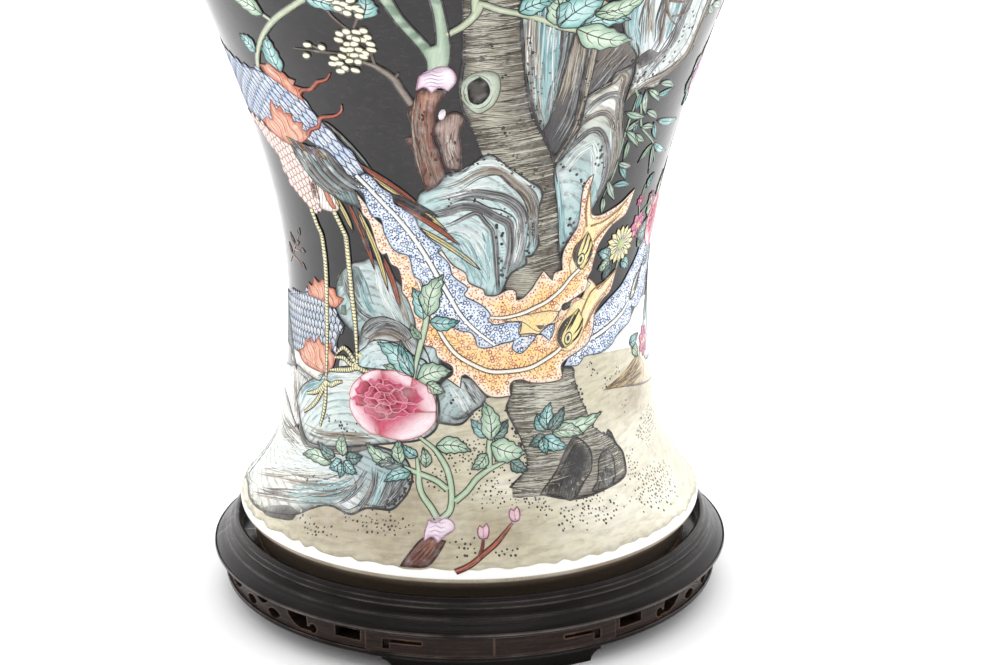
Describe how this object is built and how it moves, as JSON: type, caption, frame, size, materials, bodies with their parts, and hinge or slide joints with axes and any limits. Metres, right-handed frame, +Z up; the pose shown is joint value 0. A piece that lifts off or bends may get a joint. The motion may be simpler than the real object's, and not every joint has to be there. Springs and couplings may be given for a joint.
{
  "type": "porcelain vase",
  "caption": "Tall baluster vase in painted porcelain, standing loose in the recess of a turned and carved round hardwood stand.",
  "frame": {"origin": "on the floor, at the middle of the stand's underside", "axes": "+Z up along the vase's axis; -Y towards the front, where the main painted scene is"},
  "size_m": [0.316, 0.316, 0.6765],
  "materials": {
    "porcelain": "glossy",
    "stand_wood": "satin",
    "inner_wood": "matt"
  },
  "bodies": {
    "stand": {"top_ring_front": "stand_wood", "top_ring_back": "stand_wood", "apron_a": "stand_wood", "apron_b": "stand_wood", "apron_c": "stand_wood", "base_ring_a": "stand_wood", "base_ring_b": "stand_wood", "base_ring_c": "stand_wood", "foot_a": "stand_wood", "foot_b": "stand_wood", "foot_c": "stand_wood", "top_ring_tongues": "inner_wood", "centre_panel": "inner_wood", "panel_batten": "inner_wood", "apron_tongues": "inner_wood", "ring_dowels": "inner_wood", "foot_dowels": "inner_wood", "base_pins": "inner_wood"},
    "vase": {"vase": "porcelain"}
  },
  "joints": [
    {"name": "vase_lift", "type": "slide", "parent": "stand", "child": "vase", "axis": [0, 0, 1], "range_m": [0, 0.1]}
  ]
}
